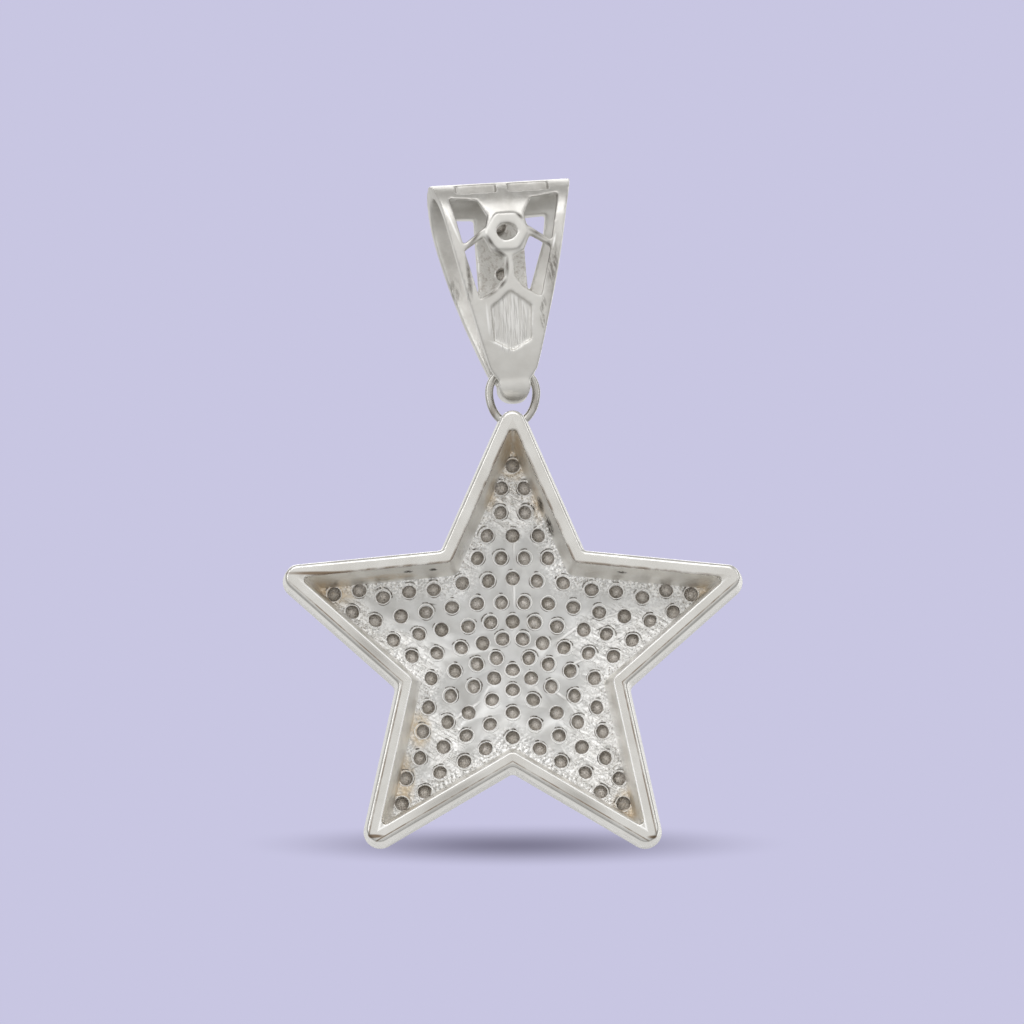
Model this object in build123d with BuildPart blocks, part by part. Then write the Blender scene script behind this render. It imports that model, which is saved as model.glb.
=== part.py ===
"""A silver star pendant: a hollow pierced star set with small stones, hanging by its ring from a tapered bail.

Millimetres, +Z up. The origin is the inside top of the bail, where a chain carries it.
The stones face -Y and the hollow back of the star faces +Y.
"""

import os
from collections import namedtuple
from itertools import combinations
from math import atan2, cos, degrees, hypot, radians, sin

from build123d import *

os.makedirs("parts", exist_ok=True)

# The star, measured on its flat back rim
STAR_POINTS = 5
TIP_REACH = 16.88
NOTCH_REACH = 7.83
TIP_ROUND = 0.84
NOTCH_ROUND = 0.46
RIM_WIDTH = 0.82
RIM_OUTER_ROUND = 0.3
RIM_INNER_ROUND = 0.12
HOLLOW_TIP_ROUND = 0.3
HOLLOW_NOTCH_ROUND = 0.6

# The star's depth, from the back rim towards the front
WALL_DEPTH = 2.7
WALL_FLARE = 0.26
EDGE_BEVEL = 0.45
FRONT_BORDER = 0.35
BORDER_RAISE = 0.12
HOLLOW_DEPTH = 3.35
HOLLOW_DRAFT = 0.51
PLATE_THICKNESS = 0.8
CROWN_RISE = 0.8

# The stones of the star: five arms of 22, and the shape of a cut stone as shares of its diameter
STONE_GAP = 0.13
SEAT_CLEARANCE = 0.02
STONE_SINK = 0.09
HOLE_SHARE = 0.8
CUT_SIDES = 8
TABLE_SHARE = 0.58
CROWN_SHARE = 0.15
GIRDLE_SHARE = 0.03
PAVILION_SHARE = 0.42

# The oval ring soldered to the star's top point
RING_WIRE = 0.54
RING_HALF_WIDTH = 1.56
RING_RISE = 1.62
RING_FALL = 2.1
RING_SINK = 0.81
RING_DEPTH = 2.56
RING_CLEARANCE = 0.15

# The bail: a band folded over at the top, leaning and turned a little on its ring
BAIL_DROP = 12.03
BAIL_WALL = 0.85
BAIL_GAP = 5.5
BEND_RISE = 2.4
SADDLE_GAP = 1.5
SADDLE_WALL = 0.7
SADDLE_THICKNESS = 1.95
BAIL_TOP_HALF = 4.95
BAIL_BACK_TOP_HALF = 4.6
BAIL_NECK_HALF = 1.55
BAIL_NECK_RISE = 0.15
BAIL_FRONT_BULGE = 0.4
BAIL_BACK_BULGE = 0.12
TONGUE_CLEARANCE = 0.28
TONGUE_SHOULDER = 0.6
BAIL_LEAN_DEGREES = 4.1
BAIL_TURN_DEGREES = 4.1

# The bail's pierced back and front
BOSS_HALF = 1.42
BOSS_HOLE_HALF = 0.68
BOSS_HOLE_RISE = 0.56
BOSS_RAISE = 0.15
BOSS_CORNER_ROUND = 0.5
PANEL_RECESS = 0.3
WINDOW_ROUND = 0.1
SLOT_ROUND_SHARE = 0.03
STRIP_HALF = 1.4
STRIP_RAISE = 0.3
STRIP_START = 0.2
STRIP_END = 0.9
BAIL_STONE_COUNT = 6
BAIL_STONE_TOP = 1.85
BAIL_STONE_LOW = 1.2
BAIL_ROW_TOP = 1.3
BAIL_ROW_LOW = 10.4
BAIL_HOLE_SHARE = 0.5


def on_spoke(reach, turn):
    """A point at a reach from the star's centre, turned clockwise from the top spoke, in degrees."""
    return reach * sin(radians(turn)), reach * cos(radians(turn))


# Angles of the star: a spoke to each tip, and half a step to the notch beside it
ARM_STEP = 360 / STAR_POINTS
HALF_STEP = ARM_STEP / 2
notch_across, notch_along = on_spoke(NOTCH_REACH, HALF_STEP)
ARM_HALF_ANGLE = degrees(atan2(notch_across, TIP_REACH - notch_along))


def inset_reach(inset):
    """The reaches of tip and notch once every side of the star has moved in by the inset."""
    tip = TIP_REACH - inset / sin(radians(ARM_HALF_ANGLE))
    notch = NOTCH_REACH - inset / sin(radians(HALF_STEP + ARM_HALF_ANGLE))
    return tip, notch


def star_face(plane, inset, tip_round=0.0, notch_round=0.0):
    """The star on a plane, its sides moved in by the inset, with rounded tips and notches."""
    tip, notch = inset_reach(inset)
    corners = []
    for arm in range(STAR_POINTS):
        corners.append(on_spoke(tip, arm * ARM_STEP))
        corners.append(on_spoke(notch, arm * ARM_STEP + HALF_STEP))
    with BuildSketch(plane) as star:
        with BuildLine():
            Polyline(*corners, close=True)
        make_face()
        if tip_round > 0:
            fillet(star.vertices().group_by(SortBy.DISTANCE)[-1], tip_round)
        if notch_round > 0:
            fillet(star.vertices().group_by(SortBy.DISTANCE)[0], notch_round)
    return star.sketch.face()


def cut_stone(diameter):
    """A small brilliant in its own frame: girdle at the origin, table up, point down."""
    girdle = diameter * GIRDLE_SHARE / 2
    table = girdle + diameter * CROWN_SHARE
    point = girdle + diameter * PAVILION_SHARE
    rings = []
    for height, width in ((-girdle, diameter), (girdle, diameter), (table, diameter * TABLE_SHARE)):
        with BuildSketch(Plane.XY.offset(height)) as ring:
            RegularPolygon(width / 2, CUT_SIDES)
        rings.append(ring.sketch.face())
    lower, upper, top = rings
    with BuildPart() as stone:
        loft(sections=[lower, upper], ruled=True)
        loft(sections=[upper, top], ruled=True)
        loft(sections=[Vertex(0, 0, -point), lower], ruled=True)
    return stone.part


def cut_seats(places, diameter, depth, hole_share):
    """Cuts the seats of stones whose girdles lie at the places, each with its hole through to the back."""
    seat = diameter / 2 + SEAT_CLEARANCE
    hole = diameter * hole_share / 2
    ledge = diameter * GIRDLE_SHARE / 2 + SEAT_CLEARANCE
    slope = (seat - hole) * PAVILION_SHARE * 2
    mouth = depth + STONE_SINK
    with Locations(*places):
        with Locations((0, 0, -ledge)):
            Cylinder(seat, mouth, align=(Align.CENTER, Align.CENTER, Align.MIN), mode=Mode.SUBTRACT)
            Cone(hole, seat, slope, align=(Align.CENTER, Align.CENTER, Align.MAX), mode=Mode.SUBTRACT)
        with Locations((0, 0, ledge)):
            Cylinder(hole, depth + mouth, align=(Align.CENTER, Align.CENTER, Align.MAX), mode=Mode.SUBTRACT)


# The bail's own frame, its saddle, and the pin line that the ring turns on
bail_pose = Location((0, 0, 0), (0, BAIL_LEAN_DEGREES, BAIL_TURN_DEGREES))
bail_side = Plane(bail_pose * Plane.YZ.location)
bail_face = Plane(bail_pose * Plane.XZ.location)
bail_floor = Plane(bail_pose)
saddle = (bail_pose * Location((0, 0, -BAIL_DROP))).position
hinge = saddle + Vector(0, 0, RING_CLEARANCE + RING_WIRE / 2)
ring_centre = hinge - Vector(0, 0, RING_RISE)

# The ring's lower end sinks into the rounded tip, which fixes the star's centre
rounded_tip = TIP_REACH - TIP_ROUND * (1 / sin(radians(ARM_HALF_ANGLE)) - 1)
star_centre = ring_centre - Vector(0, 0, RING_FALL + RING_WIRE / 2 - RING_SINK + rounded_tip)
rim_plane = Plane(origin=star_centre + Vector(0, RING_DEPTH, 0), x_dir=(1, 0, 0), z_dir=(0, -1, 0))
front_depth = HOLLOW_DEPTH + PLATE_THICKNESS
floor_inset = RIM_WIDTH + HOLLOW_DRAFT
field_inset = FRONT_BORDER + EDGE_BEVEL
floor_tip, floor_notch = inset_reach(floor_inset)

# Where the stones lie in half an arm, as shares of the way to the floor's tip and to its notch
StonePlace = namedtuple("StonePlace", "to_tip to_notch")
MIDDLE_STONES = [
    StonePlace(to_tip=0.915, to_notch=0),
    StonePlace(to_tip=0.573, to_notch=0),
    StonePlace(to_tip=0.365, to_notch=0),
    StonePlace(to_tip=0.154, to_notch=0),
]
NOTCH_STONES = [
    StonePlace(to_tip=0, to_notch=0.906),
    StonePlace(to_tip=0, to_notch=0.640),
    StonePlace(to_tip=0, to_notch=0.398),
    StonePlace(to_tip=0, to_notch=0.184),
]
PAIRED_STONES = [
    StonePlace(to_tip=0.725, to_notch=0.212),
    StonePlace(to_tip=0.598, to_notch=0.231),
    StonePlace(to_tip=0.396, to_notch=0.469),
    StonePlace(to_tip=0.382, to_notch=0.216),
    StonePlace(to_tip=0.220, to_notch=0.642),
    StonePlace(to_tip=0.184, to_notch=0.444),
    StonePlace(to_tip=0.167, to_notch=0.211),
]


def stone_spot(arm, place, side):
    """A stone's spot on the star's plane: its arm, its shares, and the side of the arm it lies on."""
    tip_x, tip_y = on_spoke(floor_tip * place.to_tip, arm * ARM_STEP)
    notch_x, notch_y = on_spoke(floor_notch * place.to_notch, arm * ARM_STEP + side * HALF_STEP)
    return tip_x + notch_x, tip_y + notch_y


# The crown rises from the field's border to one low apex, in ten flat facets
field_notch = inset_reach(field_inset)[1]
crown_base = front_depth - BORDER_RAISE
facet_slope = CROWN_RISE / (field_notch * sin(radians(HALF_STEP + ARM_HALF_ANGLE)))
ridge_slope = facet_slope * sin(radians(ARM_HALF_ANGLE))
valley_slope = facet_slope * sin(radians(HALF_STEP + ARM_HALF_ANGLE))

# Each stone's spot, with the direction and the slope in which the crown falls away under it
field_spots = []
for arm in range(STAR_POINTS):
    for place in MIDDLE_STONES:
        field_spots.append((stone_spot(arm, place, 1), arm * ARM_STEP, ridge_slope))
    for place in NOTCH_STONES:
        field_spots.append((stone_spot(arm, place, 1), arm * ARM_STEP + HALF_STEP, valley_slope))
    for place in PAIRED_STONES:
        for side in (1, -1):
            outward = arm * ARM_STEP + side * (90 - ARM_HALF_ANGLE)
            field_spots.append((stone_spot(arm, place, side), outward, facet_slope))

closest = min(hypot(a[0][0] - b[0][0], a[0][1] - b[0][1]) for a, b in combinations(field_spots, 2))
stone_diameter = closest - STONE_GAP


def crown_seat(spot, outward, slope):
    """The plane of a stone's girdle: on the crown's front face, square to it, a little below the metal."""
    x, y = spot
    fall_x, fall_y = on_spoke(1, outward)
    height = crown_base + CROWN_RISE - slope * (x * fall_x + y * fall_y)
    normal = Vector(slope * fall_x, slope * fall_y, 1).normalized()
    girdle = Vector(x, y, height) - normal * STONE_SINK
    origin = rim_plane.from_local_coords(girdle)
    upward = rim_plane.from_local_coords(girdle + normal) - origin
    return Plane(origin=origin, x_dir=(1, 0, 0), z_dir=upward)


crown_seats = [crown_seat(spot, outward, slope) for spot, outward, slope in field_spots]

# The star: drafted walls, hollow back, faceted crown, one seat and hole for every stone
rim_outline = star_face(rim_plane, 0, TIP_ROUND, NOTCH_ROUND)
wide_outline = star_face(rim_plane.offset(WALL_DEPTH), -WALL_FLARE, TIP_ROUND + WALL_FLARE, NOTCH_ROUND)
front_outline = star_face(rim_plane.offset(front_depth), EDGE_BEVEL, TIP_ROUND, NOTCH_ROUND)
hollow_mouth = star_face(rim_plane, RIM_WIDTH, HOLLOW_TIP_ROUND, HOLLOW_NOTCH_ROUND)
hollow_floor = star_face(rim_plane.offset(HOLLOW_DEPTH), floor_inset, HOLLOW_TIP_ROUND / 2, HOLLOW_NOTCH_ROUND)
floor_base = star_face(rim_plane.offset(HOLLOW_DEPTH - BORDER_RAISE), floor_inset + BORDER_RAISE)
field_base = star_face(rim_plane.offset(crown_base), field_inset)
field_mouth = star_face(rim_plane.offset(front_depth), field_inset)
floor_apex = rim_plane.from_local_coords(Vector(0, 0, HOLLOW_DEPTH - BORDER_RAISE + CROWN_RISE))
crown_apex = rim_plane.from_local_coords(Vector(0, 0, crown_base + CROWN_RISE))

with BuildLine(Plane(origin=ring_centre, x_dir=(1, 0, 0), z_dir=(0, -1, 0))) as ring_line:
    EllipticalCenterArc((0, 0), RING_HALF_WIDTH, RING_RISE, 0, arc_size=180)
    EllipticalCenterArc((0, 0), RING_HALF_WIDTH, RING_FALL, 180, arc_size=180)

with BuildPart() as star_setting:
    loft(sections=[rim_outline, wide_outline], ruled=True)
    loft(sections=[wide_outline, front_outline], ruled=True)
    extrude(field_mouth, amount=-BORDER_RAISE, dir=rim_plane.z_dir, mode=Mode.SUBTRACT)
    loft(sections=[field_base, Vertex(*crown_apex)], ruled=True)
    loft(sections=[hollow_mouth, hollow_floor], ruled=True, mode=Mode.SUBTRACT)
    loft(sections=[floor_base, Vertex(*floor_apex)], ruled=True, mode=Mode.SUBTRACT)
    rim = star_setting.faces().sort_by(Axis.Y)[-1]
    fillet(rim.outer_wire().edges(), RIM_OUTER_ROUND)
    rim = star_setting.faces().sort_by(Axis.Y)[-1]
    fillet(rim.inner_wires()[0].edges(), RIM_INNER_ROUND)
    cut_seats(crown_seats, stone_diameter, PLATE_THICKNESS, HOLE_SHARE)
    with BuildSketch(Plane(origin=ring_line.line @ 0, z_dir=ring_line.line % 0)):
        Circle(RING_WIRE / 2)
    sweep(path=ring_line.line)
star_setting.part.label = "star_setting"
export_step(star_setting.part, "parts/star_setting.step")

small_stone = cut_stone(stone_diameter)
with BuildPart() as star_stones:
    with Locations(*crown_seats):
        add(small_stone)
star_stones.part.label = "star_stones"
export_step(star_stones.part, "parts/star_stones.step")

# The bail in its own frame: across, depth and height from the inside top of the loop
saddle_height = -BAIL_DROP
tongue_half = RING_HALF_WIDTH - RING_WIRE / 2 - TONGUE_CLEARANCE
tongue_low = saddle_height - SADDLE_THICKNESS
arch_rise = RING_RISE - (RING_WIRE + RING_CLEARANCE) / 2
arch_centre = saddle_height + RING_CLEARANCE + RING_WIRE / 2 - RING_RISE
back_half = BAIL_GAP / 2 + BAIL_WALL
raised_half = back_half + STRIP_RAISE
low_half = SADDLE_GAP / 2 + SADDLE_WALL
raised_low_half = low_half + STRIP_RAISE
reach_past = 2 * back_half
wide_half = BAIL_TOP_HALF + BAIL_BACK_TOP_HALF
slot_round = BAIL_TOP_HALF * SLOT_ROUND_SHARE


def loop_face(half_depth, top, end_half, low):
    """The loop seen from the side: a round bend on top, bowed flanks, a small round end at the bottom."""
    shoulder = low + end_half
    with BuildSketch(bail_side) as loop:
        with BuildLine():
            EllipticalCenterArc((0, -BEND_RISE), half_depth, top + BEND_RISE, 0, arc_size=180)
            TangentArc((half_depth, -BEND_RISE), (end_half, shoulder), tangent=(0, -1))
            TangentArc((-half_depth, -BEND_RISE), (-end_half, shoulder), tangent=(0, -1))
            ThreePointArc((end_half, shoulder), (0, low), (-end_half, shoulder))
        make_face()
    return loop.sketch.face()


def bail_outline(plane, top_half, bulge):
    """The bail seen from the front: bulging sides down to the neck, then the rounded tongue."""
    top = BAIL_WALL + STRIP_RAISE
    neck = saddle_height + BAIL_NECK_RISE
    shoulder = saddle_height - TONGUE_SHOULDER
    with BuildSketch(plane) as outline:
        with BuildLine():
            SagittaArc((top_half, top), (BAIL_NECK_HALF, neck), bulge)
            Line((BAIL_NECK_HALF, neck), (tongue_half, shoulder))
            ThreePointArc((tongue_half, shoulder), (0, tongue_low), (-tongue_half, shoulder))
            Line((-tongue_half, shoulder), (-BAIL_NECK_HALF, neck))
            SagittaArc((-BAIL_NECK_HALF, neck), (-top_half, top), bulge)
            Line((-top_half, top), (top_half, top))
        make_face()
    return outline.sketch.face()


# Corners of the openings for one side of the bail, as shares of its top half width and of its drop
Corner = namedtuple("Corner", "across down")
UPPER_WINDOW = [
    Corner(across=0.73, down=0.040),
    Corner(across=0.36, down=0.062),
    Corner(across=0.24, down=0.156),
    Corner(across=0.28, down=0.219),
    Corner(across=0.59, down=0.310),
]
MIDDLE_WINDOW = [
    Corner(across=0.31, down=0.270),
    Corner(across=0.58, down=0.342),
    Corner(across=0.41, down=0.612),
    Corner(across=0.19, down=0.560),
    Corner(across=0.06, down=0.493),
    Corner(across=0.06, down=0.384),
    Corner(across=0.22, down=0.353),
]
FRONT_SLOT = [
    Corner(across=0.33, down=0.088),
    Corner(across=0.64, down=0.083),
    Corner(across=0.59, down=0.225),
    Corner(across=0.33, down=0.534),
]
PANEL = [
    Corner(across=0.00, down=0.571),
    Corner(across=0.27, down=0.656),
    Corner(across=0.25, down=0.838),
    Corner(across=0.00, down=0.892),
    Corner(across=-0.25, down=0.838),
    Corner(across=-0.27, down=0.656),
]
BOSS_DOWN = 0.25

# The two slots in the top bend, as shares of the top half width and of the loop's half depth
TOP_SLOT_NEAR = 0.08
TOP_SLOT_FAR = 0.62
TOP_SLOT_START = 0.40
TOP_SLOT_END = 0.71


def corner_face(corners, side=1, soften=0.0):
    """An opening on the bail's face from its table of corners, mirrored when the side is -1."""
    points = [(side * BAIL_TOP_HALF * corner.across, -BAIL_DROP * corner.down) for corner in corners]
    with BuildSketch(bail_face) as opening:
        with BuildLine():
            Polyline(*points, close=True)
        make_face()
        if soften > 0:
            fillet(opening.vertices(), soften)
    return opening.sketch.face()


def strip_seat(height):
    """The plane of a stone's girdle on the raised strip, at a height, square to the metal around it."""
    over = height + BEND_RISE
    if over > 0:
        rise = BAIL_WALL + STRIP_RAISE + BEND_RISE
        depth = raised_half * (1 - (over / rise) ** 2) ** 0.5
        normal = Vector(0, -depth / raised_half**2, over / rise**2).normalized()
    else:
        run = raised_half - raised_low_half
        drop = -BEND_RISE - (tongue_low - STRIP_RAISE + raised_low_half)
        radius = (run**2 + drop**2) / (2 * run)
        lean = over / radius
        depth = raised_half - radius * (1 - (1 - lean**2) ** 0.5)
        normal = Vector(0, -((1 - lean**2) ** 0.5), lean)
    girdle = Vector(0, -depth, height) - normal * STONE_SINK
    origin = (bail_pose * Location(girdle)).position
    outside = (bail_pose * Location(girdle + normal)).position
    return Plane(origin=origin, x_dir=bail_face.x_dir, z_dir=outside - origin)


outer_loop = loop_face(back_half, BAIL_WALL, low_half, tongue_low)
inner_loop = loop_face(BAIL_GAP / 2, 0, SADDLE_GAP / 2, saddle_height)
raised_loop = loop_face(raised_half, BAIL_WALL + STRIP_RAISE, raised_low_half, tongue_low - STRIP_RAISE)
panel_loop = loop_face(
    back_half - PANEL_RECESS, BAIL_WALL - PANEL_RECESS, low_half - PANEL_RECESS, tongue_low + PANEL_RECESS
)
front_face = bail_outline(bail_face.offset(raised_half), BAIL_TOP_HALF, BAIL_FRONT_BULGE)
back_face = bail_outline(bail_face.offset(-raised_half), BAIL_BACK_TOP_HALF, BAIL_BACK_BULGE)

with BuildPart() as panel_cut:
    extrude(corner_face(PANEL), amount=-reach_past)
    extrude(panel_loop, amount=wide_half, both=True, mode=Mode.SUBTRACT)

# What is cut off the saddle's shoulders, so that the oval ring turns freely on its crown
with BuildPart() as saddle_cut:
    with BuildSketch(bail_face):
        with Locations((0, arch_centre)):
            Rectangle(2 * RING_HALF_WIDTH + RING_WIRE, 2 * arch_rise, align=(Align.CENTER, Align.MIN))
            Ellipse(tongue_half, arch_rise, mode=Mode.SUBTRACT)
    extrude(amount=SADDLE_GAP / 2 + RING_CLEARANCE, both=True)

with BuildPart() as front_strip:
    extrude(raised_loop, amount=STRIP_HALF, both=True)
    with BuildSketch(bail_side):
        with Locations((0, -STRIP_START)):
            Rectangle(reach_past, BAIL_DROP - STRIP_START - STRIP_END, align=(Align.MAX, Align.MAX))
    extrude(amount=STRIP_HALF, both=True, mode=Mode.INTERSECT)

row_step = (BAIL_ROW_LOW - BAIL_ROW_TOP) / (BAIL_STONE_COUNT - 1)
size_step = (BAIL_STONE_TOP - BAIL_STONE_LOW) / (BAIL_STONE_COUNT - 1)
bail_row = []
for place in range(BAIL_STONE_COUNT):
    seat = strip_seat(-BAIL_ROW_TOP - place * row_step)
    bail_row.append((seat, BAIL_STONE_TOP - place * size_step))

with BuildPart() as bail:
    extrude(outer_loop, amount=wide_half, both=True)
    add(front_strip.part)
    extrude(inner_loop, amount=wide_half, both=True, mode=Mode.SUBTRACT)
    loft(sections=[front_face, back_face], ruled=True, mode=Mode.INTERSECT)
    with BuildSketch(bail_face.offset(-back_half - BOSS_RAISE)) as boss:
        with Locations((0, -BAIL_DROP * BOSS_DOWN)):
            RegularPolygon(BOSS_HALF, 6)
        fillet(boss.vertices(), BOSS_CORNER_ROUND)
    extrude(amount=BAIL_WALL)
    with BuildSketch(bail_face):
        with Locations((0, -BAIL_DROP * BOSS_DOWN)):
            Ellipse(BOSS_HOLE_HALF, BOSS_HOLE_RISE)
    extrude(amount=-reach_past, mode=Mode.SUBTRACT)
    for side in (1, -1):
        extrude(corner_face(UPPER_WINDOW, side, WINDOW_ROUND), amount=-reach_past, mode=Mode.SUBTRACT)
        extrude(corner_face(MIDDLE_WINDOW, side, WINDOW_ROUND), amount=-reach_past, mode=Mode.SUBTRACT)
        extrude(corner_face(FRONT_SLOT, side), amount=reach_past, mode=Mode.SUBTRACT)
    with BuildSketch(bail_floor.offset(-BEND_RISE)):
        for side in (1, -1):
            middle = side * BAIL_TOP_HALF * (TOP_SLOT_NEAR + TOP_SLOT_FAR) / 2
            with Locations((middle, back_half * (TOP_SLOT_START + TOP_SLOT_END) / 2)):
                RectangleRounded(
                    BAIL_TOP_HALF * (TOP_SLOT_FAR - TOP_SLOT_NEAR),
                    back_half * (TOP_SLOT_END - TOP_SLOT_START),
                    slot_round,
                )
    extrude(amount=BEND_RISE + 2 * BAIL_WALL, mode=Mode.SUBTRACT)
    add(panel_cut.part, mode=Mode.SUBTRACT)
    add(saddle_cut.part, mode=Mode.SUBTRACT)
    for seat, diameter in bail_row:
        cut_seats([seat], diameter, BAIL_WALL + STRIP_RAISE, BAIL_HOLE_SHARE)
bail.part.label = "bail"
export_step(bail.part, "parts/bail.step")

with BuildPart() as bail_stones:
    for seat, diameter in bail_row:
        with Locations(seat):
            add(cut_stone(diameter))
bail_stones.part.label = "bail_stones"
export_step(bail_stones.part, "parts/bail_stones.step")
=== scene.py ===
# %% [markdown]
# # A silver star pendant, seen from behind
# The pendant is a hollow cast star, pierced behind every stone, that hangs by an oval ring from a
# folded openwork bail. Its solid parts come packed as a fixed frame. This lesson dresses them: it
# softens the cast edges, raises the lips of the holes, cuts the stones and gives the silver its
# polish, its cast skin and its tarnish.

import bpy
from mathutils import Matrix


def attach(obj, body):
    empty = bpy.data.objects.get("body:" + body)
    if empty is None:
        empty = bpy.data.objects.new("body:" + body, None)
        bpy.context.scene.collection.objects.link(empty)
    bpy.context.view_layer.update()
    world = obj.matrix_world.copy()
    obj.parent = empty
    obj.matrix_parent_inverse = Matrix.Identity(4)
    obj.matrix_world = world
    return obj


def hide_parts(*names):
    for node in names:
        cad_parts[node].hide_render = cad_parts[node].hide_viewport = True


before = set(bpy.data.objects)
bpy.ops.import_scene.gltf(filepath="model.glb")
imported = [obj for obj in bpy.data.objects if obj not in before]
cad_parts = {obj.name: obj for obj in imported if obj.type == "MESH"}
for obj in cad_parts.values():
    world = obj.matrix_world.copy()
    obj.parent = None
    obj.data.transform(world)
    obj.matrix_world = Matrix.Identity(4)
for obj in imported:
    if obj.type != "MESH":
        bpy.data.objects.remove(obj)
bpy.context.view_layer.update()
print("CAD nodes:", sorted(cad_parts))

# %% [markdown]
# ## Measures
# Silversmiths think in millimetres and Blender in metres, so every measure below is written in
# millimetres and turned into metres by one factor. The star lies flat in the X-Z plane with its
# hollow back towards +Y. Its layout is worked out again here from the same few sizes as the solids,
# so that each lip, bead and stone lands on its own seat.

# %% Sizes of the star
from collections import namedtuple
from math import atan2, cos, degrees, hypot, radians, sin

import bmesh
import bpy
from mathutils import Matrix, Vector, noise

MM = 0.001
STAR_CENTRE = Vector((-0.860, 0, -30.379))
RIM_Y = 2.56
STAR_POINTS = 5
TIP_REACH = 16.88
NOTCH_REACH = 7.83
RIM_WIDTH = 0.82
HOLLOW_DRAFT = 0.51
HOLLOW_DEPTH = 3.35
WALL_FOOT = RIM_WIDTH + HOLLOW_DRAFT
FLOOR_Y = RIM_Y - HOLLOW_DEPTH
PLATE_THICKNESS = 0.8
BORDER_RAISE = 0.12
FRONT_BORDER = 0.35
EDGE_BEVEL = 0.45
CROWN_RISE = 0.8
STONE_DIAMETER = 1.207
STONE_SINK = 0.09
HOLE_SHARE = 0.8
ARM_STEP = 360 / STAR_POINTS
HALF_STEP = ARM_STEP / 2


def on_spoke(reach, turn):
    """A point at a reach from the star's centre, turned clockwise from the top spoke, in degrees."""
    return reach * sin(radians(turn)), reach * cos(radians(turn))


notch_across, notch_along = on_spoke(NOTCH_REACH, HALF_STEP)
ARM_HALF_ANGLE = degrees(atan2(notch_across, TIP_REACH - notch_along))
OUT_ALONG = cos(radians(90 - ARM_HALF_ANGLE))
OUT_ACROSS = sin(radians(90 - ARM_HALF_ANGLE))


def inset_reach(inset):
    """The reaches of tip and notch once every side of the star has moved in by the inset."""
    tip = TIP_REACH - inset / sin(radians(ARM_HALF_ANGLE))
    notch = NOTCH_REACH - inset / sin(radians(HALF_STEP + ARM_HALF_ANGLE))
    return tip, notch


floor_tip, floor_notch = inset_reach(WALL_FOOT)
field_notch = inset_reach(FRONT_BORDER + EDGE_BEVEL)[1]
print(f"half angle of an arm {ARM_HALF_ANGLE:.2f} degrees")
print(f"the floor reaches {floor_tip:.2f} and {floor_notch:.2f} mm")

# %% [markdown]
# ## Where the stones sit
# Five equal arms carry 22 stones each: four down the middle, four towards the notch, and seven
# pairs. One small table holds an arm, and turning it five times fills the star. The front plate is
# a very low pyramid, so each seat also leans outwards with the facet that it is cut in.

# %% The chart of one arm, as shares of the way to the tip and to the notch
MIDDLE_STONES = [(0.915, 0), (0.573, 0), (0.365, 0), (0.154, 0)]
NOTCH_STONES = [(0, 0.906), (0, 0.640), (0, 0.398), (0, 0.184)]
PAIRED_STONES = [
    (0.725, 0.212),
    (0.598, 0.231),
    (0.396, 0.469),
    (0.382, 0.216),
    (0.220, 0.642),
    (0.184, 0.444),
    (0.167, 0.211),
]
facet_slope = CROWN_RISE / (field_notch * sin(radians(HALF_STEP + ARM_HALF_ANGLE)))
ridge_slope = facet_slope * sin(radians(ARM_HALF_ANGLE))
valley_slope = facet_slope * sin(radians(HALF_STEP + ARM_HALF_ANGLE))


# %% Every seat: its spot on the star and the lean of the plate there
def stone_spot(arm, place, side):
    """The spot of a stone on the star, from its arm, its two shares and its side of the arm."""
    to_tip, to_notch = place
    tip_x, tip_y = on_spoke(floor_tip * to_tip, arm * ARM_STEP)
    notch_x, notch_y = on_spoke(floor_notch * to_notch, arm * ARM_STEP + side * HALF_STEP)
    return tip_x + notch_x, tip_y + notch_y


seats = []
for arm in range(STAR_POINTS):
    for place in MIDDLE_STONES:
        seats.append((stone_spot(arm, place, 1), arm * ARM_STEP, ridge_slope))
    for place in NOTCH_STONES:
        seats.append((stone_spot(arm, place, 1), arm * ARM_STEP + HALF_STEP, valley_slope))
    for place in PAIRED_STONES:
        for side in (1, -1):
            outward = arm * ARM_STEP + side * (90 - ARM_HALF_ANGLE)
            seats.append((stone_spot(arm, place, side), outward, facet_slope))
print(len(seats), "seats")


def plate_point(spot, outward, slope, depth_at_centre):
    """A point of the sloping plate, and the way it faces at the front, both in metres."""
    x, y = spot
    fall_x, fall_y = on_spoke(1, outward)
    depth = depth_at_centre - slope * (x * fall_x + y * fall_y)
    facing = Vector((slope * fall_x, -1, slope * fall_y)).normalized()
    point = Vector((STAR_CENTRE.x + x, RIM_Y - depth, STAR_CENTRE.z + y))
    return point * MM, facing


def seat_frame(point, facing, turn=0.0):
    """The place of a small part: its own Z looks along the facing, turned about it by an angle."""
    lean = facing.to_track_quat("Z", "Y").to_matrix().to_4x4()
    return Matrix.Translation(point) @ lean @ Matrix.Rotation(turn, 4, "Z")


# %% [markdown]
# ## Helpers for the bench
# Every piece is modelled in a bmesh and handed over in the same way: its vertices carry its place,
# its object stays at the origin, and it rides on a body of the frame.


# %% From a bmesh to a finished piece
def mesh_of(bm, name):
    """Turns a bmesh into a mesh of a name, and frees it."""
    mesh = bpy.data.meshes.new(name)
    bm.to_mesh(mesh)
    bm.free()
    return mesh


def add_object(name, data):
    """Puts a new object with its data into the scene."""
    made = bpy.data.objects.new(name, data)
    bpy.context.scene.collection.objects.link(made)
    return made


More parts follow.
